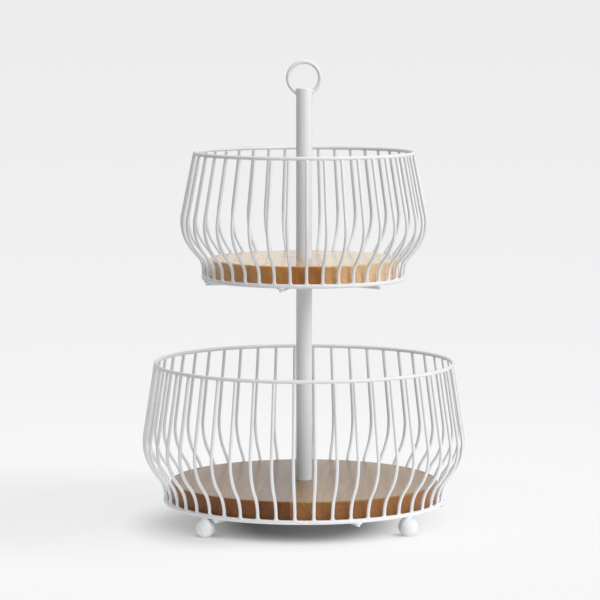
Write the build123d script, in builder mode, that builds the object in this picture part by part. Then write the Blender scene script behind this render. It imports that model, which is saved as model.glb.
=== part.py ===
from build123d import *
import math
import os

os.makedirs("parts", exist_ok=True)

# Tiered wire basket: two round baskets of welded wire on one post, with a ring to carry it by.
# Millimetres. +Z is up, the front is -Y, and the origin lies on the post's axis at the height
# that the feet stand on.

# Wires, all diameters, and the hairline left at every welded joint
rim_wire = 3.5
base_ring_wire = 4.0
upright_wire = 3.0
spoke_wire = 3.5
weld_gap = 0.05

# Lower basket. Radii reach the middle of the wire, and heights start at the middle of its base ring.
# A flare is how much wider the wires stand there than on the base ring.
lower_base_radius = 131.0
lower_rim_flare = 9.0
lower_belly_corner_flare = 22.5
lower_height = 129.0
lower_belly_corner_height = 42.8
lower_foot_corner_height = 14.8
lower_foot_bend_share = 0.315
lower_belly_bend_share = 0.553
lower_upright_groups = 8
lower_uprights_per_group = 6
lower_upright_phase_share = 0.5
lower_first_spoke_angle = -8.0

# Upper basket, measured the same way
upper_base_radius = 94.6
upper_rim_flare = 7.9
upper_belly_corner_flare = 23.0
upper_height = 116.5
upper_belly_corner_height = 41.0
upper_foot_corner_height = 14.3
upper_foot_bend_share = 0.19
upper_belly_bend_share = 0.553
upper_upright_groups = 8
upper_uprights_per_group = 5
upper_upright_phase_share = 0.133
upper_first_spoke_angle = 17.0

# A bend takes at most this share of the straight run below it
longest_bend_share = 0.9

# Radial wires under each board. They run on past the middle of the base ring by the overhang.
spoke_count = 6
spoke_overhang = 1.2
spoke_end_radius = 0.8

# Wooden boards
lower_board_thickness = 20.0
upper_board_thickness = 20.0
board_edge_radius = 1.5
board_clearance = 3.0

# Ball feet
foot_diameter = 18.0
foot_flat_depth = 0.3
foot_seat_depth = 0.2
foot_count = 4
first_foot_angle = 46.5

# Post tubes
post_diameter = 15.0
post_wall = 1.2
post_edge_radius = 0.5
lower_post_length = 185.0
upper_post_length = 159.0

# Plug and threaded inserts in the ends of the tubes
plug_length = 14.0
insert_length = 16.0
insert_clearance = 0.05

# Hub plates under the boards
hub_diameter = 40.0
hub_thickness = 2.0
hub_edge_radius = 0.6
hub_boss_diameter = 18.0

# Stud, screw and washer
stud_diameter = 6.0
thread_clearance = 0.1
hole_clearance = 0.3
thread_engagement = 12.0
stud_end_chamfer = 0.6
screw_head_diameter = 11.0
screw_head_height = 3.6
screw_head_edge_radius = 1.2
screw_key_width = 4.0
screw_key_depth = 2.0
washer_diameter = 16.0
washer_thickness = 1.2

# Ring handle
handle_outer_diameter = 34.0
handle_wire = 4.0
handle_rise = 9.5
handle_end_gap = 8.0
handle_socket_clearance = 0.05

# Heights, stacked from the floor up
foot_centre_height = foot_diameter / 2 - foot_flat_depth
foot_top = foot_diameter - foot_flat_depth
lower_board_bottom = foot_top - foot_seat_depth
lower_ring_height = lower_board_bottom + base_ring_wire / 2
lower_board_top = lower_board_bottom + lower_board_thickness
lower_hub_top = lower_board_bottom - spoke_wire
lower_hub_bottom = lower_hub_top - hub_thickness
washer_bottom = lower_hub_bottom - washer_thickness
lower_post_top = lower_board_top + lower_post_length
upper_hub_top = lower_post_top + hub_thickness
upper_board_bottom = upper_hub_top + spoke_wire
upper_ring_height = upper_board_bottom + base_ring_wire / 2
upper_board_top = upper_board_bottom + upper_board_thickness
upper_post_top = upper_board_top + upper_post_length
handle_centre_height = upper_post_top + handle_rise

# Radii worked out from the values above
lower_rim_radius = lower_base_radius + lower_rim_flare
lower_belly_corner_radius = lower_base_radius + lower_belly_corner_flare
upper_rim_radius = upper_base_radius + upper_rim_flare
upper_belly_corner_radius = upper_base_radius + upper_belly_corner_flare
board_inset = base_ring_wire / 2 + board_clearance
post_radius = post_diameter / 2
post_bore_radius = post_radius - post_wall
insert_radius = post_bore_radius - insert_clearance
insert_bore_radius = stud_diameter / 2 + thread_clearance
through_hole_radius = stud_diameter / 2 + hole_clearance
handle_radius = (handle_outer_diameter - handle_wire) / 2


def save(piece, name):
    """Label a finished piece and write it under its own name."""
    piece.part.label = name
    export_step(piece.part, "parts/" + name + ".step")


def save_ring(name, radius, wire, height):
    """A closed ring of round wire, lying level at the given height."""
    with BuildPart() as ring:
        with BuildSketch(Plane.XZ):
            with Locations((radius, height)):
                Circle(wire / 2)
        revolve(axis=Axis.Z)
    save(ring, name)


def turn_at(before, corner, after):
    """How far a path turns at one of its corners, in radians."""
    arriving = Vector(*corner) - Vector(*before)
    leaving = Vector(*after) - Vector(*corner)
    return math.radians(arriving.get_angle(leaving))


def bent_upright(base, foot_corner, belly_corner, rim, foot_share, belly_share):
    """One upright from the base ring to the rim, bent twice and coped to both rings.

    Each point is (radius, height) on the wire's centre line. Each bend is an arc that runs along
    the slanting stretch between the two corners for its share of that stretch.
    """
    slant = (Vector(*belly_corner) - Vector(*foot_corner)).length
    foot_run = foot_corner[1] - base[1]
    foot_tangent = min(foot_share * slant, longest_bend_share * foot_run)
    foot_bend = foot_tangent / math.tan(turn_at(base, foot_corner, belly_corner) / 2)
    belly_bend = belly_share * slant / math.tan(turn_at(foot_corner, belly_corner, rim) / 2)
    with BuildPart() as upright:
        with BuildLine(Plane.XZ) as path:
            FilletPolyline(base, foot_corner, belly_corner, rim, radius=[foot_bend, belly_bend])
        with BuildSketch(Plane(origin=path.line @ 0, z_dir=path.line % 0)):
            Circle(upright_wire / 2)
        sweep()
        with BuildSketch(Plane.XZ):
            with Locations(base):
                Circle(base_ring_wire / 2 + weld_gap)
            with Locations(rim):
                Circle(rim_wire / 2 + weld_gap)
        revolve(axis=Axis.Z, mode=Mode.SUBTRACT)
    return upright


def save_uprights(prefix, upright, groups, per_group, phase_share):
    """Copies of an upright all round a basket. The neighbours in one sector share a file."""
    pitch = 360 / (groups * per_group)
    for group in range(groups):
        with BuildPart() as sector:
            for place in range(per_group):
                angle = pitch * (group * per_group + place + phase_share)
                add(upright.part, rotation=(0, 0, angle))
        save(sector, prefix + "_uprights_" + str(group + 1))


def save_spokes(prefix, base_radius, board_bottom, first_angle):
    """Straight wires under a basket, from the hub's boss to the base ring, rounded at the ring."""
    inner_end = hub_boss_diameter / 2 + weld_gap
    outer_end = base_radius + spoke_overhang
    height = board_bottom - spoke_wire / 2
    for place in range(spoke_count):
        outward = Vector(1, 0, 0).rotate(Axis.Z, first_angle + place * 360 / spoke_count)
        start = outward * inner_end + Vector(0, 0, height)
        with BuildPart() as spoke:
            with BuildSketch(Plane(origin=start, z_dir=outward)):
                Circle(spoke_wire / 2)
            extrude(amount=outer_end - inner_end)
            fillet(spoke.edges().sort_by_distance(Vector(0, 0, height))[-1], spoke_end_radius)
        save(spoke, prefix + "_spoke_" + str(place + 1))


def save_hub(prefix, hub_top):
    """A round plate under the spokes, with a boss between them that meets the board."""
    with BuildPart() as hub:
        with BuildSketch(Plane.XY.offset(hub_top)):
            Circle(hub_diameter / 2)
        extrude(amount=-hub_thickness)
        fillet(hub.edges(), hub_edge_radius)
        with BuildSketch(Plane.XY.offset(hub_top)):
            Circle(hub_boss_diameter / 2)
        extrude(amount=spoke_wire)
        with Locations((0, 0, hub_top)):
            Hole(through_hole_radius)
    save(hub, prefix + "_hub")


def save_board(prefix, base_radius, bottom, thickness):
    """A wooden disc with eased edges, lying on the spokes inside the base ring."""
    with BuildPart() as board:
        with BuildSketch(Plane.XY.offset(bottom)):
            Circle(base_radius - board_inset)
        extrude(amount=thickness)
        fillet(board.edges(), board_edge_radius)
        with Locations((0, 0, bottom)):
            Hole(through_hole_radius)
    save(board, prefix + "_board")


def handle_loop(wire):
    """The ring handle's wire, open at the bottom, standing across the front of the post."""
    half_gap = math.degrees(math.asin(handle_end_gap / 2 / handle_radius))
    with BuildPart() as loop:
        with BuildLine(Plane.XZ) as path:
            CenterArc((0, handle_centre_height), handle_radius, half_gap - 90, 360 - 2 * half_gap)
        with BuildSketch(Plane(origin=path.line @ 0, z_dir=path.line % 0)):
            Circle(wire / 2)
        sweep()
    return loop


def save_insert(name, bottom):
    """A threaded insert in the end of a post tube."""
    with BuildPart() as insert:
        with BuildSketch(Plane.XY.offset(bottom)):
            Circle(insert_radius)
            Circle(insert_bore_radius, mode=Mode.SUBTRACT)
        extrude(amount=insert_length)
    save(insert, name)


# Lower basket
save_ring("lower_rim", lower_rim_radius, rim_wire, lower_ring_height + lower_height)
save_ring("lower_base_ring", lower_base_radius, base_ring_wire, lower_ring_height)
lower_upright = bent_upright(
    (lower_base_radius, lower_ring_height),
    (lower_base_radius, lower_ring_height + lower_foot_corner_height),
    (lower_belly_corner_radius, lower_ring_height + lower_belly_corner_height),
    (lower_rim_radius, lower_ring_height + lower_height),
    lower_foot_bend_share,
    lower_belly_bend_share,
)
save_uprights(
    "lower", lower_upright, lower_upright_groups, lower_uprights_per_group, lower_upright_phase_share
)
save_spokes("lower", lower_base_radius, lower_board_bottom, lower_first_spoke_angle)
save_hub("lower", lower_hub_top)
save_board("lower", lower_base_radius, lower_board_bottom, lower_board_thickness)

# Upper basket
save_ring("upper_rim", upper_rim_radius, rim_wire, upper_ring_height + upper_height)
save_ring("upper_base_ring", upper_base_radius, base_ring_wire, upper_ring_height)
upper_upright = bent_upright(
    (upper_base_radius, upper_ring_height),
    (upper_base_radius, upper_ring_height + upper_foot_corner_height),
    (upper_belly_corner_radius, upper_ring_height + upper_belly_corner_height),
    (upper_rim_radius, upper_ring_height + upper_height),
    upper_foot_bend_share,
    upper_belly_bend_share,
)
save_uprights(
    "upper", upper_upright, upper_upright_groups, upper_uprights_per_group, upper_upright_phase_share
)
save_spokes("upper", upper_base_radius, upper_board_bottom, upper_first_spoke_angle)
save_hub("upper", upper_hub_top)
save_board("upper", upper_base_radius, upper_board_bottom, upper_board_thickness)

# Ball feet, each with a saddle for the base ring and a small flat to stand on
for place in range(foot_count):
    foot_angle = first_foot_angle + place * 360 / foot_count
    with BuildPart(Plane.XY.offset(foot_centre_height)) as foot:
        with PolarLocations(lower_base_radius, 1, foot_angle):
            Sphere(foot_diameter / 2)
        split(bisect_by=Plane.XY, keep=Keep.TOP)
        with BuildSketch(Plane.XZ):
            with Locations((lower_base_radius, lower_ring_height)):
                Circle(base_ring_wire / 2 + weld_gap)
        revolve(axis=Axis.Z, mode=Mode.SUBTRACT)
    save(foot, "foot_" + str(place + 1))

# Lower post, from the lower board to the upper basket's hub
with BuildPart() as lower_post:
    with BuildSketch(Plane.XY.offset(lower_board_top)):
        Circle(post_radius)
        Circle(post_bore_radius, mode=Mode.SUBTRACT)
    extrude(amount=lower_post_length)
save(lower_post, "lower_post")
save_insert("lower_post_bottom_insert", lower_board_top)
save_insert("lower_post_top_insert", lower_post_top - insert_length)

# Upper post, from the upper board to the ring, with a socket in each side for the ring's ends
handle_sockets = handle_loop(handle_wire + 2 * handle_socket_clearance)
with BuildPart() as upper_post:
    with BuildSketch(Plane.XY.offset(upper_board_top)):
        Circle(post_radius)
    extrude(amount=upper_post_length)
    fillet(upper_post.edges().sort_by(Axis.Z)[-1], post_edge_radius)
    with BuildSketch(Plane.XY.offset(upper_board_top)):
        Circle(post_bore_radius)
    extrude(amount=upper_post_length, mode=Mode.SUBTRACT)
    add(handle_sockets.part, mode=Mode.SUBTRACT)
save(upper_post, "upper_post")
save_insert("upper_post_insert", upper_board_top)

# Plug that closes the top of the upper post and holds the ring's ends
with BuildPart() as top_plug:
    with BuildSketch(Plane.XY.offset(upper_post_top - plug_length)):
        Circle(insert_radius)
    extrude(amount=plug_length)
    add(handle_sockets.part, mode=Mode.SUBTRACT)
save(top_plug, "top_plug")

# Ring handle
ring_handle = handle_loop(handle_wire)
save(ring_handle, "ring_handle")

# Stud through the upper hub and board, from one post's insert into the other's
with BuildPart() as joining_stud:
    with BuildSketch(Plane.XY.offset(lower_post_top - thread_engagement)):
        Circle(stud_diameter / 2)
    extrude(amount=upper_board_top - lower_post_top + 2 * thread_engagement)
    chamfer(joining_stud.edges().filter_by(GeomType.CIRCLE), stud_end_chamfer)
save(joining_stud, "joining_stud")

# Screw from under the lower hub up into the lower post, with its washer
with BuildPart() as base_screw:
    with BuildSketch(Plane.XY.offset(washer_bottom)):
        Circle(screw_head_diameter / 2)
    extrude(amount=-screw_head_height)
    fillet(base_screw.edges().sort_by(Axis.Z)[0], screw_head_edge_radius)
    with BuildSketch(Plane.XY.offset(washer_bottom)):
        Circle(stud_diameter / 2)
    extrude(amount=lower_board_top - washer_bottom + thread_engagement)
    chamfer(base_screw.edges().sort_by(Axis.Z)[-1], stud_end_chamfer)
    with BuildSketch(Plane.XY.offset(washer_bottom - screw_head_height)):
        RegularPolygon(screw_key_width / 2, 6, major_radius=False)
    extrude(amount=screw_key_depth, mode=Mode.SUBTRACT)
save(base_screw, "base_screw")

with BuildPart() as base_washer:
    with BuildSketch(Plane.XY.offset(washer_bottom)):
        Circle(washer_diameter / 2)
        Circle(through_hole_radius, mode=Mode.SUBTRACT)
    extrude(amount=washer_thickness)
save(base_washer, "base_washer")
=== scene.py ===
import math

import bmesh
import bpy
from mathutils import Matrix, Vector


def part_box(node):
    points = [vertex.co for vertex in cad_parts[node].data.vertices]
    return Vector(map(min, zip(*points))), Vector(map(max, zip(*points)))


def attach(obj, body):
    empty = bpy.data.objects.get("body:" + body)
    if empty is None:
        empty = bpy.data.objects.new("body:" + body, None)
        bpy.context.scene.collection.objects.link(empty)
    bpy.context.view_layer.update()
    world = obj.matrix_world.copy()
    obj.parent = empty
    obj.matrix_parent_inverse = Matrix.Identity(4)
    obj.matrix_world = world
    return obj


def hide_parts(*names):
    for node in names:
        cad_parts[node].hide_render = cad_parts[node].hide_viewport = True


# Tiered wire basket in a studio. Metres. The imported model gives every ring's and board's place, and
# the wires, post, feet and boards are modelled again here with their welds, bends and finishes.
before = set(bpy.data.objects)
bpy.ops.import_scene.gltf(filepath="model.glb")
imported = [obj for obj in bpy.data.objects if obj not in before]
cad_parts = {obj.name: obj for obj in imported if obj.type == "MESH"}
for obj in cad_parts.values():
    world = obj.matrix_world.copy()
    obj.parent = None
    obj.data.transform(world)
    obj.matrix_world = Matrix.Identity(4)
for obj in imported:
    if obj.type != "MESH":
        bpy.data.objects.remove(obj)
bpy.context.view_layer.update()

# Wire diameters
rim_wire = 0.0035
base_ring_wire = 0.004
upright_wire = 0.003
spoke_wire = 0.0035
handle_wire = 0.004

# How finely round things are divided
ring_steps = 240
board_steps = 256
board_edge_steps = 5
wire_sides = 20
foot_bend_steps = 9
belly_bend_steps = 14
bead_sides = 24
bead_rows = 14
post_sides = 72
lower_post_edge_steps = 3
upper_post_edge_steps = 6
foot_sides = 48
foot_arc_steps = 24
handle_steps = 72
floor_steps = 96

# Finishing a mesh
merge_distance = 0.000001
sharp_angle_degrees = 40

# A weld's rows: distance from the ring's centre line, then the weld's half width along the ring and
# across it
base_weld_rows = (
    (0.0015, 0.0035, 0.0012),
    (0.0019, 0.0029, 0.0014),
    (0.0024, 0.0022, upright_wire / 2),
    (0.0031, 0.0017, upright_wire / 2),
    (0.0042, upright_wire / 2, upright_wire / 2),
)
rim_weld_rows = (
    (0.0012, 0.0023, 0.001),
    (0.0016, 0.002, 0.0014),
    (0.0022, 0.0016, upright_wire / 2),
    (0.003, upright_wire / 2, upright_wire / 2),
)

# Welds of the base wires under the ring, and of the ring handle in the post's sides: half sizes
spoke_weld = (0.0024, 0.0038, 0.0015)
handle_weld = (0.0021, 0.0026, 0.0027)

# The rounded tip of a base wire: distance from the tip, then the share of the wire's radius
spoke_tip_rows = ((0, 0.54), (0.0001, 0.7), (0.0003, 0.85), (0.0008, 1))

# Boards, posts, feet and base wires. The neck's rows are a radius and a height above the ball's centre.
board_hole_radius = 0.0033
board_edge_radius = 0.0015
board_edge_margin = 0.0006
post_wall = 0.0012
post_edge_radius = 0.0006
plug_length = 0.014
foot_neck = ((0.0052, 0.00735), (0.0042, 0.0079), (0.0034, 0.0085), (0.0029, 0.0092), (0.0027, 0.0101))
foot_radius = 0.009
foot_centre_height = 0.0087
foot_count = 4
first_foot_angle_degrees = 46.5
handle_end_gap = 0.008
hair = 0.00001               # keeps the ring handle just inside the solid model's box
hub_boss_radius = 0.00905
spoke_count = 6
spoke_overhang = 0.0012
first_spoke_degrees = {"lower": -8, "upper": 17}

# Uprights: the bends of the lower and the upper basket, as in the solid model
lower_cage = {
    "basket": "lower",
    "count": 48,
    "phase_share": 0.5,
    "foot_corner_height": 0.0148,
    "belly_corner_radius": 0.1535,
    "belly_corner_height": 0.0428,
    "foot_share": 0.315,
    "belly_share": 0.553,
    "sectors": 8,
}
upper_cage = {
    "basket": "upper",
    "count": 40,
    "phase_share": 0.133,
    "foot_corner_height": 0.0143,
    "belly_corner_radius": 0.1176,
    "belly_corner_height": 0.041,
    "foot_share": 0.19,
    "belly_share": 0.553,
    "sectors": 8,
}
longest_bend_share = 0.9     # of the straight run below a bend, which the bend may take up

# Powder coat. The peel is the fine orange peel, and the cloud the unevenness of tone and gloss.
coat_tones = ((0.815, 0.83, 0.845, 1), (0.845, 0.86, 0.875, 1))
coat_gloss = (0.34, 0.43)
coat_cloud_scale = 60
coat_cloud_detail = 3
coat_peel_scale = 900
coat_peel_detail = 2
coat_peel_strength = 0.12
coat_peel_depth = 0.0001

# Zinc plating
zinc_tones = ((0.56, 0.57, 0.58, 1), (0.72, 0.73, 0.75, 1))
zinc_gloss = (0.28, 0.45)
zinc_cloud_scale = 700
zinc_cloud_detail = 4

# Wood. The staves run along Y, so a pattern's stretch is small in the middle.
stave_width = 0.034
stave_unevenness = 0.5
log_shift = (0.9, 3.0, 0.9)            # how far apart in their logs two staves are cut
warp_stretch = (34, 5, 34)
warp_detail = 3
warp_reach = (0.011, 0.011, 0.011)
growth_stretch = (1, 0.04, 1)
growth_scale = 62
growth_distortion = 1.2
growth_detail = 2
growth_detail_scale = 1.5
streak_stretch = (210, 9, 210)
streak_detail = 4
pore_stretch = (1500, 70, 1500)
pore_detail = 2
pore_limits = (0.62, 0.74)
growth_share = 0.14
streak_share = 0.5
stave_share = 0.7
tone_drop = 0.2
joint_line_reach = 0.012               # in stave widths
joint_darkness = 0.45
pore_darkness = 0.06
mark_tint = (0.3, 0.22, 0.17, 1)
pore_bump_strength = 0.025
pore_bump_depth = 0.0001
wood_specular = 0.22
oil_roughness = 0.16
bounce_share = 0.8                     # how much of the bounce colour the light thrown back has
cut_edge_depths = (0.0003, 0.0012)     # how far below a face the wood takes the tint of the cut edge
cut_darkest_place = -0.01              # across the boards, where the cut edge is darkest, with the least painted sheen

# Each board: the wood's light, middle and dark tones, the tint of its cut edge in the middle, partly the
# cut's own colour and partly painted shade that keeps the edge darker than the top, and to the sides, a pale
# painted sheen, how far to the sides, the colour of the light that it throws back, the roughness of the
# wood, how much oil shows and from what glance, and where its staves lie
lower_board_finish = {
    "light": (0.45, 0.27, 0.105, 1),
    "middle": (0.28, 0.145, 0.05, 1),
    "dark": (0.13, 0.06, 0.022, 1),
    "cut": (0.8, 0.585, 0.5, 1),
    "cut_painted_sheen": (0.95, 0.7, 0.62, 1),
    "sheen_reach": (0.09, 0.12),
    "bounce": (0.3, 0.29, 0.28, 1),
    "gloss": (0.27, 0.33),
    "oil": 0.3,
    "glance": (0.6, 0.95),
    "shift": (1.29, 0.2, 0.1),
    "turn_degrees": 3,
}
upper_board_finish = {
    "light": (0.99, 0.79, 0.42, 1),
    "middle": (0.76, 0.45, 0.17, 1),
    "dark": (0.36, 0.17, 0.06, 1),
    "cut": (0.72, 0.49, 0.355, 1),
    "cut_painted_sheen": (0.98, 0.97, 1.26, 1),
    "sheen_reach": (0.015, 0.088),
    "bounce": (0.38, 0.36, 0.34, 1),
    "gloss": (0.24, 0.3),
    "oil": 0.8,
    "glance": (0.42, 0.95),
    "shift": (1.71, 0.5, 0.3),
    "turn_degrees": -2,
}

# Camera, fitted to the ellipses of the four rings
camera_place = Vector((-0.00391, -2.73, 0.4846))
camera_pitch_degrees = 5.78
camera_lens = 175.08
camera_sensor = 36
camera_clip_end = 100

# Paper under and behind the basket. Each pair of shares, rises or levels holds at its pair of radii.
paper_albedo = 0.88
paper_roughness = 0.9
floor_radius = 60
paper_shadow_centre = (-0.002, -0.021, 0)
paper_shadow_scale = (1.35, 0.85, 1)        # the oval is narrower from side to side
paper_shadow_radii = (0.058, 0.165)         # inside it the lit paper's real shadow shows, and outside it an even glow covers it, a painted outline
# a faint glow in the shadow's core is painted light, which lifts it
paper_glow_shares = (0.078, 0.82)
paper_contact_radii = (0.007, 0.02)         # plainer paper round each foot, for its own small shadow
paper_contact_shares = (0.45, 1)
paper_painted_lobe_centre = (-0.083, -0.028, 0)     # a soft lobe of painted shadow, away from the lamps
paper_painted_lobe_scale = (1, 0.62, 1)
paper_painted_lobe_radii = (0.03, 0.095)
paper_painted_lobe_shares = (0.6, 1)
paper_painted_shade_centre = (-0.35, 0.055, 0)      # a faint painted shade further out on the same side
paper_painted_shade_scale = (0.6, 1, 1)
paper_painted_shade_radii = (0.1, 0.33)
paper_painted_shade_shares = (0.91, 1)
paper_fill_radii = (0.12, 0.16)             # outside them the paper glows with an even light onto the basket, in place of the light it would throw back
paper_fill_fall = (0.16, 0.6)
paper_fill_levels = (1.15, 0.4)
paper_end_radii = (0.15, 0.34)              # where the paper turns into an even background
paper_lift = 0.27            # how far the glow makes up for the plain paper, which is darker
paper_near_radii = (0.4, 1.1)               # a painted pool of light, a little lighter still near the basket
paper_near_rises = (0.024, 0)
backdrop_level = 0.84
backdrop_rise = 0.085        # a painted falloff of light: how much lighter the glowing paper is by the basket than far behind it
backdrop_reach = 2.2

# Lamps. Each softbox: degrees from the camera round to the right, degrees up, width, height and level.
world_level = 0.165
lamp_aim = Vector((0, 0, 0.2))
lamp_distance = 2.2
softboxes = {
    "side_softbox": (44, 24, 1.3, 1.4, 0.53),
    "edge_softbox": (94, 8, 1.0, 0.9, 0.18),
    "top_softbox": (20, 80, 1.4, 1.4, 0.5),
}


# Meshes

def edges_of(geometry):
    return [part for part in geometry if isinstance(part, bmesh.types.BMEdge)]


def verts_of(geometry):
    return [part for part in geometry if isinstance(part, bmesh.types.BMVert)]


def start_wire(shape, place, radius, sides=wire_sides, turn=None):
    """A level circle, the first section of a wire. A turn stands it up."""
    where = Matrix.Translation(place) @ (turn or Matrix.Identity(4))
    made = bmesh.ops.create_circle(shape, cap_ends=True, radius=radius, segments=sides, matrix=where)
    loop = {edge for vert in made["verts"] for edge in vert.link_edges}
    return list(loop)


def run_wire(shape, loop, step):
    """Extrude a wire's last section along a straight step."""
    made = bmesh.ops.extrude_edge_only(shape, edges=loop)["geom"]
    bmesh.ops.translate(shape, verts=verts_of(made), vec=step)
    return [edge for edge in edges_of(made) if edge.is_boundary]


def bend_wire(shape, loop, centre, axis, angle, steps):
    """Sweep a wire's last section round a bend."""
    made = bmesh.ops.spin(shape, geom=loop, cent=centre, axis=axis, angle=angle, steps=steps)
    return edges_of(made["geom_last"])


def widen_wire(shape, loop, scale):
    """Scale a wire's last section along X, Y and Z, about its own middle."""
    verts = list({vert for edge in loop for vert in edge.verts})
    middle = sum((vert.co for vert in verts), Vector()) / len(verts)
    bmesh.ops.scale(shape, verts=verts, vec=scale, space=Matrix.Translation(-middle))


def add_bead(shape, place, half_sizes):
    """A bead of weld, half sunk in the wires that it joins."""
    where = Matrix.Translation(place) @ Matrix.Diagonal((*half_sizes, 1))
    bmesh.ops.create_uvsphere(shape, u_segments=bead_sides, v_segments=bead_rows, radius=1, matrix=where)


def turn_shape(shape, degrees):
    turn = Matrix.Rotation(math.radians(degrees), 3, "Z")
    bmesh.ops.rotate(shape, verts=shape.verts, cent=(0, 0, 0), matrix=turn)


def repeat_round(shape, angle, copies):
    """Further copies of the whole shape about the Z axis, over the angle."""
    bmesh.ops.spin(
        shape,
        geom=shape.verts[:] + shape.edges[:] + shape.faces[:],
        cent=(0, 0, 0),
        axis=(0, 0, 1),
        angle=angle,
        steps=copies,
        use_duplicate=True,
    )


def close_wire(shape, loop):
    bmesh.ops.contextual_create(shape, geom=loop)


def lathe(shape, points, steps, closed=False):
    """Turn an outline of (radius, height) points about the Z axis. A closed outline makes a ring."""
    verts = [shape.verts.new((radius, 0, height)) for radius, height in points]
    pairs = list(zip(verts, verts[1:]))
    if closed:
        pairs.append((verts[-1], verts[0]))
    outline = [shape.edges.new(pair) for pair in pairs]
    bmesh.ops.spin(
        shape,
        geom=verts + outline,
        cent=(0, 0, 0),
        axis=(0, 0, 1),
        angle=math.tau,
        steps=steps,
        use_merge=True,
    )


def arc_points(centre, radius, first, last, count):
    """Points (radius, height) along an arc, with angles in degrees from straight out."""
    points = []
    for place in range(count + 1):
        angle = math.radians(first + (last - first) * place / count)
        points.append((centre[0] + radius * math.cos(angle), centre[1] + radius * math.sin(angle)))
    return points


def finish_piece(name, shape, finish, slot, *nodes):
    """Make the shape a smooth piece that rides on the body and stands for its CAD nodes."""
    bmesh.ops.remove_doubles(shape, verts=shape.verts, dist=merge_distance)
    bmesh.ops.recalc_face_normals(shape, faces=shape.faces)
    mesh = bpy.data.meshes.new(name)
    shape.to_mesh(mesh)
    shape.free()
    mesh.shade_smooth()
    mesh.set_sharp_from_angle(angle=math.radians(sharp_angle_degrees))
    mesh.materials.append(finish)
    piece = bpy.data.objects.new(name, mesh)
    bpy.context.scene.collection.objects.link(piece)
    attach(piece, "root")
    if nodes:
        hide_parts(*nodes)
    return piece


def ring_place(node, wire):
    """Centre-line radius and height of a level ring."""
    low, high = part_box(node)
    return high.x - wire / 2, (low.z + high.z) / 2


# Materials

def new_material(name):
    material = bpy.data.materials.new(name)
    material.use_nodes = True
    tree = material.node_tree
    return material, tree, tree.nodes["Principled BSDF"]


def add_node(tree, kind, **settings):
    node = tree.nodes.new(kind)
    for name, value in settings.items():
        setattr(node, name, value)
    return node


def math_node(tree, operation, first, second=None):
    node = add_node(tree, "ShaderNodeMath", operation=operation)
    for socket, value in zip(node.inputs, (first, second)):
        if value is None:
            continue
        if isinstance(value, (int, float)):
            socket.default_value = value
        else:
            tree.links.new(value, socket)
    return node.outputs[0]


def ramp(tree, value, start_end, low_high, kind="SMOOTHSTEP"):
    """A value carried from one range over to another."""
    node = add_node(tree, "ShaderNodeMapRange", interpolation_type=kind)
    node.inputs["From Min"].default_value, node.inputs["From Max"].default_value = start_end
    node.inputs["To Min"].default_value, node.inputs["To Max"].default_value = low_high
    tree.links.new(value, node.inputs["Value"])
    return node.outputs["Result"]


def scaled(tree, vector, scale):
    """A vector multiplied by a scale for each axis."""
    node = add_node(tree, "ShaderNodeVectorMath", operation="MULTIPLY")
    tree.links.new(vector, node.inputs[0])
    node.inputs[1].default_value = scale
    return node.outputs[0]


def scaled_and_moved(tree, vector, scale, move):
    """A vector multiplied by a scale for each axis, then added to another vector."""
    node = add_node(tree, "ShaderNodeVectorMath", operation="MULTIPLY_ADD")
    tree.links.new(vector, node.inputs[0])
    node.inputs[1].default_value = scale
    tree.links.new(move, node.inputs[2])
    return node.outputs[0]


def noise(tree, vector, scale, detail, **settings):
    """The outputs of a cloudy pattern."""
    node = add_node(tree, "ShaderNodeTexNoise", **settings)
    node.inputs["Scale"].default_value = scale
    node.inputs["Detail"].default_value = detail
    tree.links.new(vector, node.inputs["Vector"])
    return node.outputs


def mixed(tree, first, second, share, **settings):
    """Two colours mixed by a share. Each is a fixed colour or comes from a node."""
    node = add_node(tree, "ShaderNodeMix", data_type="RGBA", **settings)
    for name, colour in (("A", first), ("B", second)):
        if isinstance(colour, tuple):
            node.inputs[name].default_value = colour
        else:
            tree.links.new(colour, node.inputs[name])
    tree.links.new(share, node.inputs["Factor"])
    return node.outputs["Result"]


def bumped(tree, height, strength, depth):
    """The normal of a surface with a fine relief."""
    node = add_node(tree, "ShaderNodeBump")
    node.inputs["Strength"].default_value = strength
    node.inputs["Distance"].default_value = depth
    tree.links.new(height, node.inputs["Height"])
    return node.outputs["Normal"]


def white_powder_coat():
    """Satin white powder coat: a fine orange peel and the faintest unevenness of tone."""
    material, tree, surface = new_material("white_powder_coat_satin")
    place = add_node(tree, "ShaderNodeTexCoord").outputs["Object"]
    cloud = noise(tree, place, coat_cloud_scale, coat_cloud_detail)["Fac"]
    peel = noise(tree, place, coat_peel_scale, coat_peel_detail)["Fac"]
    tree.links.new(mixed(tree, *coat_tones, cloud), surface.inputs["Base Color"])
    tree.links.new(ramp(tree, cloud, (0, 1), coat_gloss, "LINEAR"), surface.inputs["Roughness"])
    tree.links.new(bumped(tree, peel, coat_peel_strength, coat_peel_depth), surface.inputs["Normal"])
    return material


def zinc_plate():
    """Zinc plating on the hardware underneath."""
    material, tree, surface = new_material("zinc_plate")
    surface.inputs["Metallic"].default_value = 1
    place = add_node(tree, "ShaderNodeTexCoord").outputs["Object"]
    cloud = noise(tree, place, zinc_cloud_scale, zinc_cloud_detail)["Fac"]
    tree.links.new(mixed(tree, *zinc_tones, cloud), surface.inputs["Base Color"])
    tree.links.new(ramp(tree, cloud, (0, 1), zinc_gloss, "LINEAR"), surface.inputs["Roughness"])
    return material


def stave_cells(tree, across, **settings):
    """The outputs of a pattern with one cell for each stave."""
    node = add_node(tree, "ShaderNodeTexVoronoi", voronoi_dimensions="1D", **settings)
    node.inputs["Scale"].default_value = 1
    node.inputs["Randomness"].default_value = stave_unevenness
    tree.links.new(across, node.inputs["W"])
    return node.outputs


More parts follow.
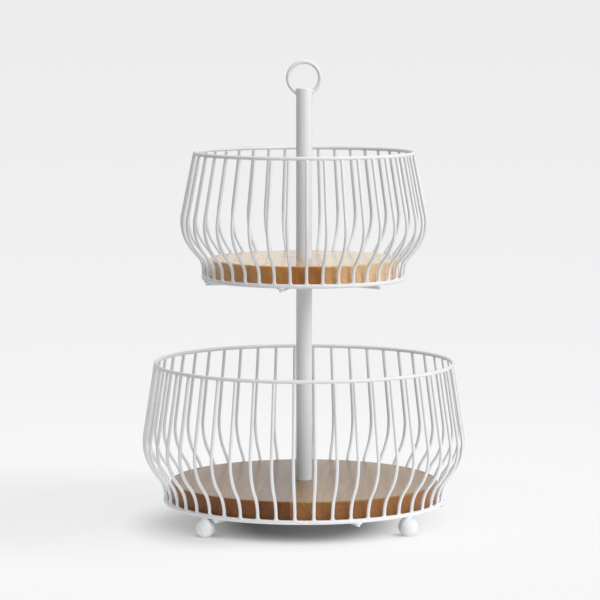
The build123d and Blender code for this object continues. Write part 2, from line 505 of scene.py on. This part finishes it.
def growth_rings(tree, vector):
    """The rings of the tree, as saw-toothed bands."""
    node = add_node(tree, "ShaderNodeTexWave", wave_type="RINGS", rings_direction="Y", wave_profile="SAW")
    node.inputs["Scale"].default_value = growth_scale
    node.inputs["Distortion"].default_value = growth_distortion
    node.inputs["Detail"].default_value = growth_detail
    node.inputs["Detail Scale"].default_value = growth_detail_scale
    tree.links.new(scaled(tree, vector, growth_stretch), node.inputs["Vector"])
    return node.outputs["Fac"]


def stave_grain_group():
    """Edge-glued hardwood staves that run along Y, each with its own tone, rings and pores."""
    group = bpy.data.node_groups.new("stave_grain", "ShaderNodeTree")
    socket = group.interface.new_socket
    socket("Vector", in_out="INPUT", socket_type="NodeSocketVector")
    socket("Light", in_out="INPUT", socket_type="NodeSocketColor")
    socket("Middle", in_out="INPUT", socket_type="NodeSocketColor")
    socket("Dark", in_out="INPUT", socket_type="NodeSocketColor")
    socket("Color", in_out="OUTPUT", socket_type="NodeSocketColor")
    socket("Gloss", in_out="OUTPUT", socket_type="NodeSocketFloat")
    socket("Height", in_out="OUTPUT", socket_type="NodeSocketFloat")
    given = add_node(group, "NodeGroupInput").outputs
    result = add_node(group, "NodeGroupOutput").inputs

    split = add_node(group, "ShaderNodeSeparateXYZ")
    group.links.new(given["Vector"], split.inputs[0])
    across = math_node(group, "MULTIPLY", split.outputs["X"], 1 / stave_width)
    stave = stave_cells(group, across)["Color"]
    joint = stave_cells(group, across, feature="DISTANCE_TO_EDGE")["Distance"]
    chance = add_node(group, "ShaderNodeSeparateColor")
    group.links.new(stave, chance.inputs[0])

    # Each stave is cut from its own place in its own log, whose grain wanders
    cut_place = scaled_and_moved(group, stave, log_shift, given["Vector"])
    warp = noise(group, scaled(group, cut_place, warp_stretch), 1, warp_detail, normalize=False)["Color"]
    grain_place = scaled_and_moved(group, warp, warp_reach, cut_place)
    rings = growth_rings(group, grain_place)
    streaks = noise(group, scaled(group, grain_place, streak_stretch), 1, streak_detail)["Fac"]
    pores = noise(group, scaled(group, cut_place, pore_stretch), 1, pore_detail)["Fac"]

    # Tone: the stave's own, then its rings and its streaks
    ring_part = math_node(group, "MULTIPLY", rings, growth_share)
    streak_part = math_node(group, "MULTIPLY", streaks, streak_share)
    stave_part = math_node(group, "MULTIPLY", chance.outputs["Red"], stave_share)
    darkness = math_node(group, "ADD", math_node(group, "ADD", ring_part, streak_part), stave_part)
    darkness = math_node(group, "SUBTRACT", darkness, tone_drop)

    # The first half of the darkness goes from light to middle, and the second half on to dark
    to_middle = math_node(group, "MULTIPLY", darkness, 2)
    to_dark = math_node(group, "SUBTRACT", to_middle, 1)
    tone = mixed(group, given["Light"], given["Middle"], to_middle)
    tone = mixed(group, tone, given["Dark"], to_dark)

    # Pores and joint lines darken it
    open_pores = ramp(group, pores, pore_limits, (0, 1), "LINEAR")
    lines = ramp(group, joint, (0, joint_line_reach), (1, 0), "LINEAR")
    pore_marks = math_node(group, "MULTIPLY", open_pores, pore_darkness)
    line_marks = math_node(group, "MULTIPLY", lines, joint_darkness)
    marks = math_node(group, "MAXIMUM", pore_marks, line_marks)
    group.links.new(mixed(group, tone, mark_tint, marks, blend_type="MULTIPLY"), result["Color"])
    group.links.new(streaks, result["Gloss"])
    group.links.new(math_node(group, "SUBTRACT", 1, marks), result["Height"])
    return group


def board_wood(basket, grain, finish):
    """Oiled staves for one board, with a tint on its cut edge: partly painted shade, with a painted sheen to
    the sides.
    """
    material, tree, surface = new_material(basket + "_board_wood")
    low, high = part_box(basket + "_board")
    middle_height = (low.z + high.z) / 2
    half_thickness = (high.z - low.z) / 2
    place = add_node(tree, "ShaderNodeTexCoord").outputs["Object"]
    mapping = add_node(tree, "ShaderNodeMapping")
    mapping.inputs["Location"].default_value = finish["shift"]
    mapping.inputs["Rotation"].default_value = (0, 0, math.radians(finish["turn_degrees"]))
    tree.links.new(place, mapping.inputs["Vector"])
    staves = add_node(tree, "ShaderNodeGroup", node_tree=grain)
    staves.inputs["Light"].default_value = finish["light"]
    staves.inputs["Middle"].default_value = finish["middle"]
    staves.inputs["Dark"].default_value = finish["dark"]
    tree.links.new(mapping.outputs["Vector"], staves.inputs["Vector"])

    # The cut edge is darker in the middle than to the sides: its tint is partly its own colour and partly
    # painted shade, and toward the sides a painted sheen pales it
    split = add_node(tree, "ShaderNodeSeparateXYZ")
    tree.links.new(place, split.inputs[0])
    off_middle = math_node(tree, "SUBTRACT", split.outputs["Z"], middle_height)
    depth = math_node(tree, "SUBTRACT", half_thickness, math_node(tree, "ABSOLUTE", off_middle))
    on_edge = ramp(tree, depth, cut_edge_depths, (0, 1))
    off_darkest = math_node(tree, "SUBTRACT", split.outputs["X"], cut_darkest_place)
    sheen_share = ramp(tree, math_node(tree, "ABSOLUTE", off_darkest), finish["sheen_reach"], (0, 1))
    tint = mixed(tree, finish["cut"], finish["cut_painted_sheen"], sheen_share)
    wood = mixed(tree, staves.outputs["Color"], tint, on_edge, blend_type="MULTIPLY")

    # The white wires take little colour from the light that the wood throws back
    bounced = add_node(tree, "ShaderNodeLightPath").outputs["Is Diffuse Ray"]
    bounce = math_node(tree, "MULTIPLY", bounced, bounce_share)
    tree.links.new(mixed(tree, wood, finish["bounce"], bounce), surface.inputs["Base Color"])

    surface.inputs["Specular IOR Level"].default_value = wood_specular
    surface.inputs["Coat Roughness"].default_value = oil_roughness
    glancing = add_node(tree, "ShaderNodeLayerWeight").outputs["Facing"]
    tree.links.new(ramp(tree, glancing, finish["glance"], (0, finish["oil"])), surface.inputs["Coat Weight"])
    roughness = ramp(tree, staves.outputs["Gloss"], (0, 1), finish["gloss"], "LINEAR")
    tree.links.new(roughness, surface.inputs["Roughness"])
    relief = bumped(tree, staves.outputs["Height"], pore_bump_strength, pore_bump_depth)
    tree.links.new(relief, surface.inputs["Normal"])
    return material


white = white_powder_coat()
zinc = zinc_plate()
stave_grain = stave_grain_group()
lower_wood = board_wood("lower", stave_grain, lower_board_finish)
upper_wood = board_wood("upper", stave_grain, upper_board_finish)


# Rings and uprights

def save_ring(name, node, wire):
    radius, height = ring_place(node, wire)
    shape = bmesh.new()
    lathe(shape, arc_points((radius, height), wire / 2, 0, 360, wire_sides)[:-1], ring_steps, closed=True)
    finish_piece(name, shape, white, "white_powder_coat", node)


def turn_between(before, corner, after):
    arriving = Vector(corner) - Vector(before)
    leaving = Vector(after) - Vector(corner)
    return arriving.angle(leaving)


def weld_onto_ring(shape, loop, rows, heading):
    """Run a wire through the rows of its weld, from the ring outwards or back into it."""
    for (height, along, across), (before, along_before, across_before) in zip(rows[1:], rows):
        loop = run_wire(shape, loop, heading * abs(height - before))
        widen_wire(shape, loop, (across / across_before, along / along_before, 1))
    return loop


def upright_shape(cage):
    """One bent upright at +X, welded to both rings."""
    base_radius, base_height = ring_place(cage["basket"] + "_base_ring", base_ring_wire)
    rim_radius, rim_height = ring_place(cage["basket"] + "_rim", rim_wire)
    base = Vector((base_radius, base_height))
    foot_corner = Vector((base_radius, base_height + cage["foot_corner_height"]))
    belly_corner = Vector((cage["belly_corner_radius"], base_height + cage["belly_corner_height"]))
    rim = Vector((rim_radius, rim_height))
    slant = belly_corner - foot_corner
    reach = rim - belly_corner
    foot_tangent = min(cage["foot_share"] * slant.length, longest_bend_share * cage["foot_corner_height"])
    belly_tangent = cage["belly_share"] * slant.length
    foot_turn = turn_between(base, foot_corner, belly_corner)
    belly_turn = turn_between(foot_corner, belly_corner, rim)
    foot_bend = foot_tangent / math.tan(foot_turn / 2)
    belly_bend = belly_tangent / math.tan(belly_turn / 2)
    slant_way = slant.normalized()
    reach_way = reach.normalized()

    shape = bmesh.new()
    lowest = base_weld_rows[0]
    start = Vector((base.x, 0, base.y + lowest[0]))
    loop = start_wire(shape, start, lowest[1])
    widen_wire(shape, loop, (lowest[2] / lowest[1], 1, 1))
    up = Vector((0, 0, 1))
    loop = weld_onto_ring(shape, loop, base_weld_rows, up)
    above_weld = base.y + base_weld_rows[-1][0]
    foot_start = foot_corner.y - foot_tangent
    loop = run_wire(shape, loop, up * (foot_start - above_weld))
    foot_centre = (base.x + foot_bend, 0, foot_start)
    loop = bend_wire(shape, loop, foot_centre, (0, 1, 0), foot_turn, foot_bend_steps)
    straight = slant.length - foot_tangent - belly_tangent
    loop = run_wire(shape, loop, Vector((slant_way.x, 0, slant_way.y)) * straight)
    belly_start = belly_corner - slant_way * belly_tangent
    belly_centre = belly_start + Vector((-slant_way.y, slant_way.x)) * belly_bend
    bend_centre = (belly_centre.x, 0, belly_centre.y)
    loop = bend_wire(shape, loop, bend_centre, (0, -1, 0), belly_turn, belly_bend_steps)
    top_rows = rim_weld_rows[::-1]
    run_length = reach.length - belly_tangent - top_rows[0][0]
    heading = Vector((reach_way.x, 0, reach_way.y))
    loop = run_wire(shape, loop, heading * run_length)
    loop = weld_onto_ring(shape, loop, top_rows, heading)
    close_wire(shape, loop)
    return shape


def save_uprights(cage):
    """Copies of the upright all round a basket, one piece for each sector of the cage."""
    pitch = math.tau / cage["count"]
    per_sector = cage["count"] // cage["sectors"]
    for sector in range(cage["sectors"]):
        shape = upright_shape(cage)
        turn_shape(shape, math.degrees(pitch * (sector * per_sector + cage["phase_share"])))
        repeat_round(shape, pitch * (per_sector - 1), per_sector - 1)
        name = f"{cage['basket']}_wires_{sector + 1}"
        node = f"{cage['basket']}_uprights_{sector + 1}"
        finish_piece(name, shape, white, "white_powder_coat", node)


def save_spokes(basket):
    """The base wires of a basket, rounded at their tips and welded under the ring."""
    nodes = [f"{basket}_spoke_{place + 1}" for place in range(spoke_count)]
    ring_radius, ring_height = ring_place(basket + "_base_ring", base_ring_wire)
    hub_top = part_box(basket + "_hub")[1].z
    outer_end = ring_radius + spoke_overhang
    height = hub_top - spoke_wire / 2
    stand = Matrix.Rotation(math.radians(90), 4, "Y")
    first_share = spoke_tip_rows[0][1]
    shape = bmesh.new()
    loop = start_wire(shape, (outer_end, 0, height), spoke_wire / 2 * first_share, turn=stand)
    inward = Vector((-1, 0, 0))
    for (depth, share), (depth_before, share_before) in zip(spoke_tip_rows[1:], spoke_tip_rows):
        loop = run_wire(shape, loop, inward * (depth - depth_before))
        widen_wire(shape, loop, (1, share / share_before, share / share_before))
    loop = run_wire(shape, loop, inward * (outer_end - spoke_tip_rows[-1][0] - hub_boss_radius))
    close_wire(shape, loop)
    add_bead(shape, (ring_radius, 0, ring_height - base_ring_wire / 2), spoke_weld)
    turn_shape(shape, first_spoke_degrees[basket])
    repeat_round(shape, math.tau * (spoke_count - 1) / spoke_count, spoke_count - 1)
    finish_piece(basket + "_base_spokes", shape, white, "white_powder_coat", *nodes)


def save_board(basket, finish):
    """A wooden disc with eased edges."""
    node = basket + "_board"
    low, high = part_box(node)
    radius = high.x
    inside = radius - board_edge_radius
    shape = bmesh.new()
    outline = [(board_hole_radius, low.z), (inside - board_edge_margin, low.z)]
    outline += arc_points((inside, low.z + board_edge_radius), board_edge_radius, -90, 0, board_edge_steps)
    outline.append((radius, low.z + board_edge_radius + board_edge_margin))
    outline.append((radius, high.z - board_edge_radius - board_edge_margin))
    outline += arc_points((inside, high.z - board_edge_radius), board_edge_radius, 0, 90, board_edge_steps)
    outline += [(inside - board_edge_margin, high.z), (board_hole_radius, high.z)]
    lathe(shape, outline, board_steps, closed=True)
    finish_piece(basket + "_wood_board", shape, finish, "acacia_board", node)


for cage in (lower_cage, upper_cage):
    basket = cage["basket"]
    save_ring(basket + "_rim_wire", basket + "_rim", rim_wire)
    save_ring(basket + "_base_wire", basket + "_base_ring", base_ring_wire)
    save_uprights(cage)
    save_spokes(basket)
save_board("lower", lower_wood)
save_board("upper", upper_wood)


# Posts, ring handle and feet

def save_lower_post():
    """A plain tube with both edges just broken."""
    low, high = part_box("lower_post")
    outside = high.x
    inside = outside - post_wall
    edge = post_edge_radius / 2
    shape = bmesh.new()
    outline = [(inside, low.z)]
    outline += arc_points((outside - edge, low.z + edge), edge, -90, 0, lower_post_edge_steps)
    outline.append((outside, low.z + edge + post_edge_radius))
    outline.append((outside, high.z - edge - post_edge_radius))
    outline += arc_points((outside - edge, high.z - edge), edge, 0, 90, lower_post_edge_steps)
    outline.append((inside, high.z))
    lathe(shape, outline, post_sides, closed=True)
    finish_piece("lower_post_tube", shape, white, "white_powder_coat", "lower_post")


def save_upper_post():
    """A tube whose plugged top is filled, coated over and eased."""
    low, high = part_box("upper_post")
    outside = high.x
    inside = outside - post_wall
    edge = post_edge_radius
    shape = bmesh.new()
    outline = [(0, high.z - plug_length), (inside, high.z - plug_length), (inside, low.z)]
    outline += [(outside, low.z), (outside, low.z + edge)]
    outline += [(outside, high.z - 3 * edge), (outside, high.z - 2 * edge)]
    outline += arc_points((outside - edge, high.z - edge), edge, 0, 90, upper_post_edge_steps)
    outline += [(outside - 2 * edge, high.z), (0, high.z)]
    lathe(shape, outline, post_sides)
    finish_piece("upper_post_tube", shape, white, "white_powder_coat", "upper_post", "top_plug")


def save_handle():
    """The ring handle, one bent wire welded into the post's sides."""
    low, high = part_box("ring_handle")
    radius = (high.x - low.x - handle_wire) / 2
    centre = Vector((0, 0, high.z - handle_wire / 2 - radius - hair))
    half_gap = math.asin(handle_end_gap / 2 / radius)
    shape = bmesh.new()
    loop = start_wire(shape, centre + Vector((radius, 0, 0)), handle_wire / 2)
    start_turn = Matrix.Rotation(math.radians(90) - half_gap, 3, "Y")
    bmesh.ops.rotate(shape, verts=shape.verts, cent=centre, matrix=start_turn)
    loop = bend_wire(shape, loop, centre, (0, 1, 0), 2 * half_gap - math.tau, handle_steps)
    close_wire(shape, loop)
    post_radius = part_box("upper_post")[1].x
    drop = math.sqrt(radius ** 2 - post_radius ** 2)
    for side in (-1, 1):
        add_bead(shape, centre + Vector((side * post_radius, 0, -drop)), handle_weld)
    finish_piece("ring_handle_wire", shape, white, "white_powder_coat", "ring_handle")


def save_foot(number):
    """A ball foot, cut flat where it stands and necked up into the base ring."""
    node = f"foot_{number}"
    ring_radius = ring_place("lower_base_ring", base_ring_wire)[0]
    first = -math.degrees(math.asin(foot_centre_height / foot_radius))
    last = math.degrees(math.atan2(foot_neck[0][1], foot_neck[0][0]))
    outline = [(0, 0)]
    outline += arc_points((0, foot_centre_height), foot_radius, first, last, foot_arc_steps)
    outline += [(radius, foot_centre_height + rise) for radius, rise in foot_neck[1:]]
    outline.append((0, foot_centre_height + foot_neck[-1][1]))
    shape = bmesh.new()
    lathe(shape, outline, foot_sides)
    bmesh.ops.translate(shape, verts=shape.verts, vec=(ring_radius, 0, 0))
    turn_shape(shape, first_foot_angle_degrees + 360 / foot_count * (number - 1))
    finish_piece(f"ball_foot_{number}", shape, white, "white_powder_coat", node)


save_lower_post()
save_upper_post()
save_handle()
for number in range(1, foot_count + 1):
    save_foot(number)


# Finishes of the CAD nodes that stay
finishes = {"white_powder_coat": white, "zinc_hardware": zinc}
for name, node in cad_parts.items():
    for index, old in enumerate(node.data.materials):
        if name.endswith("board"):
            node.data.materials[index] = lower_wood if name.startswith("lower") else upper_wood
        else:
            node.data.materials[index] = finishes[old.name]


# Studio

def seen_directly(tree):
    """1 for camera, glossy and transmission rays, and 0 for the rest."""
    path = add_node(tree, "ShaderNodeLightPath").outputs
    seen = math_node(tree, "MAXIMUM", path["Is Camera Ray"], path["Is Glossy Ray"])
    return math_node(tree, "MAXIMUM", seen, path["Is Transmission Ray"])


def oval_reach(tree, place, centre, scale):
    """How far a point lies from a centre, measured in an oval."""
    shifted = add_node(tree, "ShaderNodeVectorMath", operation="SUBTRACT")
    tree.links.new(place, shifted.inputs[0])
    shifted.inputs[1].default_value = centre
    reach = add_node(tree, "ShaderNodeVectorMath", operation="LENGTH")
    tree.links.new(scaled(tree, shifted.outputs[0], scale), reach.inputs[0])
    return reach.outputs["Value"]


def off_the_feet(tree, place):
    """A share of the glow that is low where a foot stands and whole a little way off."""
    nearest = None
    for number in range(1, foot_count + 1):
        low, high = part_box(f"foot_{number}")
        off = add_node(tree, "ShaderNodeVectorMath", operation="DISTANCE")
        tree.links.new(place, off.inputs[0])
        off.inputs[1].default_value = ((low.x + high.x) / 2, (low.y + high.y) / 2, 0)
        distance = off.outputs["Value"]
        nearest = distance if nearest is None else math_node(tree, "MINIMUM", nearest, distance)
    return ramp(tree, nearest, paper_contact_radii, paper_contact_shares)


def paper_material(name):
    """White paper that takes the basket's shadow, with a painted outline, painted shade beside it and a glow
    onto the basket, and runs out into an even pale background.
    """
    material, tree, surface = new_material(name)
    surface.inputs["Base Color"].default_value = (paper_albedo, paper_albedo, paper_albedo, 1)
    surface.inputs["Roughness"].default_value = paper_roughness
    surface.inputs["Specular IOR Level"].default_value = 0
    place = add_node(tree, "ShaderNodeTexCoord").outputs["Object"]
    reach = add_node(tree, "ShaderNodeVectorMath", operation="LENGTH")
    tree.links.new(place, reach.inputs[0])
    radius = reach.outputs["Value"]

    # The glowing paper's tone: a painted falloff of light, darker with distance, and darker in the painted
    # soft shade and the painted shadow's lobe
    fall = math_node(tree, "ADD", math_node(tree, "DIVIDE", radius, backdrop_reach), 1)
    tone = math_node(tree, "ADD", math_node(tree, "DIVIDE", backdrop_rise, fall), backdrop_level)
    tone = math_node(tree, "ADD", tone, ramp(tree, radius, paper_near_radii, paper_near_rises))
    painted_shade_reach = oval_reach(tree, place, paper_painted_shade_centre, paper_painted_shade_scale)
    tone = math_node(tree, "MULTIPLY", tone, ramp(tree, painted_shade_reach, paper_painted_shade_radii, paper_painted_shade_shares))
    painted_lobe_reach = oval_reach(tree, place, paper_painted_lobe_centre, paper_painted_lobe_scale)
    tone = math_node(tree, "MULTIPLY", tone, ramp(tree, painted_lobe_reach, paper_painted_lobe_radii, paper_painted_lobe_shares))

    # How much of the paper glows with that tone, where it is seen, and how much is plain lit paper. The glow
    # paints the shadow's outline and lifts its core.
    shadow_reach = oval_reach(tree, place, paper_shadow_centre, paper_shadow_scale)
    near = ramp(tree, shadow_reach, paper_shadow_radii, paper_glow_shares)
    near = math_node(tree, "MULTIPLY", near, off_the_feet(tree, place))
    far = ramp(tree, radius, paper_end_radii, (0, 1))
    share = math_node(tree, "MAXIMUM", near, far)
    plain = math_node(tree, "SUBTRACT", 1, share)
    lift = math_node(tree, "ADD", math_node(tree, "MULTIPLY", plain, paper_lift), 1)
    tone = math_node(tree, "MULTIPLY", tone, lift)
    share = math_node(tree, "MULTIPLY", share, seen_directly(tree))

    # An even glow that lights the basket, in place of the light that the paper would throw back
    bounced = add_node(tree, "ShaderNodeLightPath").outputs["Is Diffuse Ray"]
    fill = math_node(tree, "MULTIPLY", ramp(tree, radius, paper_fill_radii, (0, 1)), bounced)
    strength = add_node(tree, "ShaderNodeMix")
    tree.links.new(bounced, strength.inputs["Factor"])
    tree.links.new(tone, strength.inputs["A"])
    tree.links.new(ramp(tree, radius, paper_fill_fall, paper_fill_levels), strength.inputs["B"])
    glow = add_node(tree, "ShaderNodeEmission")
    tree.links.new(strength.outputs["Result"], glow.inputs["Strength"])
    paper = add_node(tree, "ShaderNodeMixShader")
    tree.links.new(math_node(tree, "MAXIMUM", share, fill), paper.inputs[0])
    tree.links.new(surface.outputs[0], paper.inputs[1])
    tree.links.new(glow.outputs[0], paper.inputs[2])
    tree.links.new(paper.outputs[0], tree.nodes["Material Output"].inputs["Surface"])
    return material


floor_shape = bmesh.new()
bmesh.ops.create_circle(floor_shape, cap_ends=True, radius=floor_radius, segments=floor_steps)
floor_mesh = bpy.data.meshes.new("floor")
floor_shape.to_mesh(floor_mesh)
floor_shape.free()
floor_mesh.materials.append(paper_material("white_paper"))
floor = bpy.data.objects.new("floor", floor_mesh)
bpy.context.scene.collection.objects.link(floor)


def softbox(name, azimuth_degrees, elevation_degrees, width, height, level):
    """A soft rectangular lamp aimed at the basket. The azimuth runs from the camera to the right."""
    lamp = bpy.data.lights.new(name, "AREA")
    lamp.shape = "RECTANGLE"
    lamp.size = width
    lamp.size_y = height
    lamp.energy = level * math.pi ** 2 * lamp_distance ** 2
    azimuth = math.radians(azimuth_degrees)
    elevation = math.radians(elevation_degrees)
    toward = Vector((
        math.sin(azimuth) * math.cos(elevation),
        -math.cos(azimuth) * math.cos(elevation),
        math.sin(elevation),
    ))
    box = bpy.data.objects.new(name, lamp)
    box.location = lamp_aim + toward * lamp_distance
    box.rotation_euler = toward.to_track_quat("Z", "Y").to_euler()
    bpy.context.scene.collection.objects.link(box)


for name, place in softboxes.items():
    softbox(name, *place)

world = bpy.data.worlds.new("studio")
world.use_nodes = True
bpy.context.scene.world = world
sky = world.node_tree.nodes["Background"]
sky.inputs["Color"].default_value = (1, 1, 1, 1)
sky_level = add_node(world.node_tree, "ShaderNodeMapRange")
sky_level.inputs["To Min"].default_value = world_level
sky_level.inputs["To Max"].default_value = backdrop_level
world.node_tree.links.new(seen_directly(world.node_tree), sky_level.inputs["Value"])
world.node_tree.links.new(sky_level.outputs["Result"], sky.inputs["Strength"])

camera_data = bpy.data.cameras.new("camera")
camera_data.sensor_width = camera_sensor
camera_data.lens = camera_lens
camera_data.clip_end = camera_clip_end
camera = bpy.data.objects.new("camera", camera_data)
camera.location = camera_place
camera.rotation_euler = (math.radians(90 - camera_pitch_degrees), 0, 0)
bpy.context.scene.collection.objects.link(camera)
bpy.context.scene.camera = camera

view = bpy.context.scene.view_settings
view.view_transform = "Standard"
